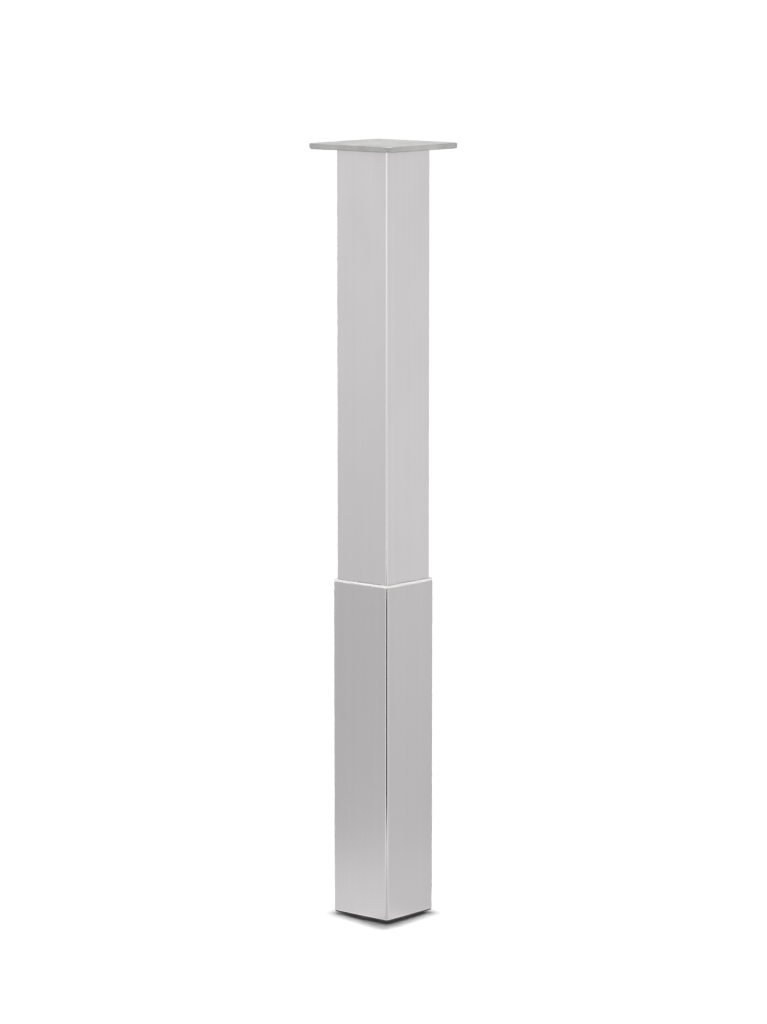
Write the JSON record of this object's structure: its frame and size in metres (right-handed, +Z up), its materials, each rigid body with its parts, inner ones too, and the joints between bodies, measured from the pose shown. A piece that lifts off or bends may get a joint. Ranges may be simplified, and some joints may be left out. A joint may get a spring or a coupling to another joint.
{
  "type": "telescopic table leg",
  "caption": "Square brushed-steel table leg: an upper tube telescopes in a lower sleeve with a light guide collar, rear clamp screws, a table plate and a levelling foot.",
  "frame": {"origin": "on the floor at the centre of the foot, with the leg closed and the foot screwed in", "axes": "+Z up along the leg to the table top; -Y is the front face, +Y the rear face with the clamp screws"},
  "size_m": [0.1, 0.1, 0.71],
  "materials": {
    "brushed_steel": "satin, brushed along the tube",
    "cast_plate": "die cast, tumbled matt",
    "plated_steel": "bright zinc plated",
    "plain_steel": "plain rolled steel, oiled",
    "collar_plastic": "moulded, fine matt",
    "black_plastic": "moulded, fine matt",
    "slide_nylon": "natural nylon",
    "liner_fibre": "pressed fibre, matt",
    "buffer_rubber": "soft rubber",
    "pad_felt": "pressed felt"
  },
  "bodies": {
    "foot": {"foot_glide": "black_plastic", "glide_pad": "pad_felt"},
    "foot_stud": {"foot_stud": "plated_steel"},
    "lower_leg": {"lower_sleeve": "brushed_steel", "guide_collar": "collar_plastic", "slot_slider": "slide_nylon", "clamp_liner": "liner_fibre", "clamp_plate": "plain_steel", "end_cap": "black_plastic", "stop_buffer": "buffer_rubber", "foot_nut": "plated_steel"},
    "upper_leg": {"upper_tube": "brushed_steel", "mounting_plate": "cast_plate", "plate_screws": "plated_steel", "slide_plug": "black_plastic", "slide_pads": "slide_nylon"},
    "clamp_washer_upper": {"clamp_washer_upper": "plated_steel"},
    "clamp_screw_upper": {"clamp_screw_upper": "plated_steel"},
    "clamp_washer_lower": {"clamp_washer_lower": "plated_steel"},
    "clamp_screw_lower": {"clamp_screw_lower": "plated_steel"}
  },
  "joints": [
    {"name": "foot_level", "type": "slide", "parent": "foot", "child": "lower_leg", "axis": [0, 0, 1], "range_m": [0, 0.012]},
    {"name": "stud_turn", "type": "hinge", "parent": "foot", "child": "foot_stud", "pos_m": [0, 0, 0.002], "axis": [0, 0, 1], "range_deg": [-2880, 0]},
    {"name": "height_slide", "type": "slide", "parent": "lower_leg", "child": "upper_leg", "axis": [0, 0, 1], "range_m": [0, 0.18]},
    {"name": "clamp_travel_upper", "type": "slide", "parent": "lower_leg", "child": "clamp_washer_upper", "axis": [0, 1, 0], "range_m": [0, 0.00126]},
    {"name": "clamp_turn_upper", "type": "hinge", "parent": "clamp_washer_upper", "child": "clamp_screw_upper", "pos_m": [0, 0.0341, 0.2841], "axis": [0, 1, 0], "range_deg": [0, 360]},
    {"name": "clamp_travel_lower", "type": "slide", "parent": "lower_leg", "child": "clamp_washer_lower", "axis": [0, 1, 0], "range_m": [0, 0.00126]},
    {"name": "clamp_turn_lower", "type": "hinge", "parent": "clamp_washer_lower", "child": "clamp_screw_lower", "pos_m": [0, 0.0341, 0.2491], "axis": [0, 1, 0], "range_deg": [0, 360]}
  ],
  "couplings": [
    {"joint": "stud_turn", "follows": "foot_level", "rad_per_m": -4188.8},
    {"joint": "clamp_travel_upper", "follows": "clamp_turn_upper", "m_per_rad": 0.00019894},
    {"joint": "clamp_travel_lower", "follows": "clamp_turn_lower", "m_per_rad": 0.00019894}
  ]
}
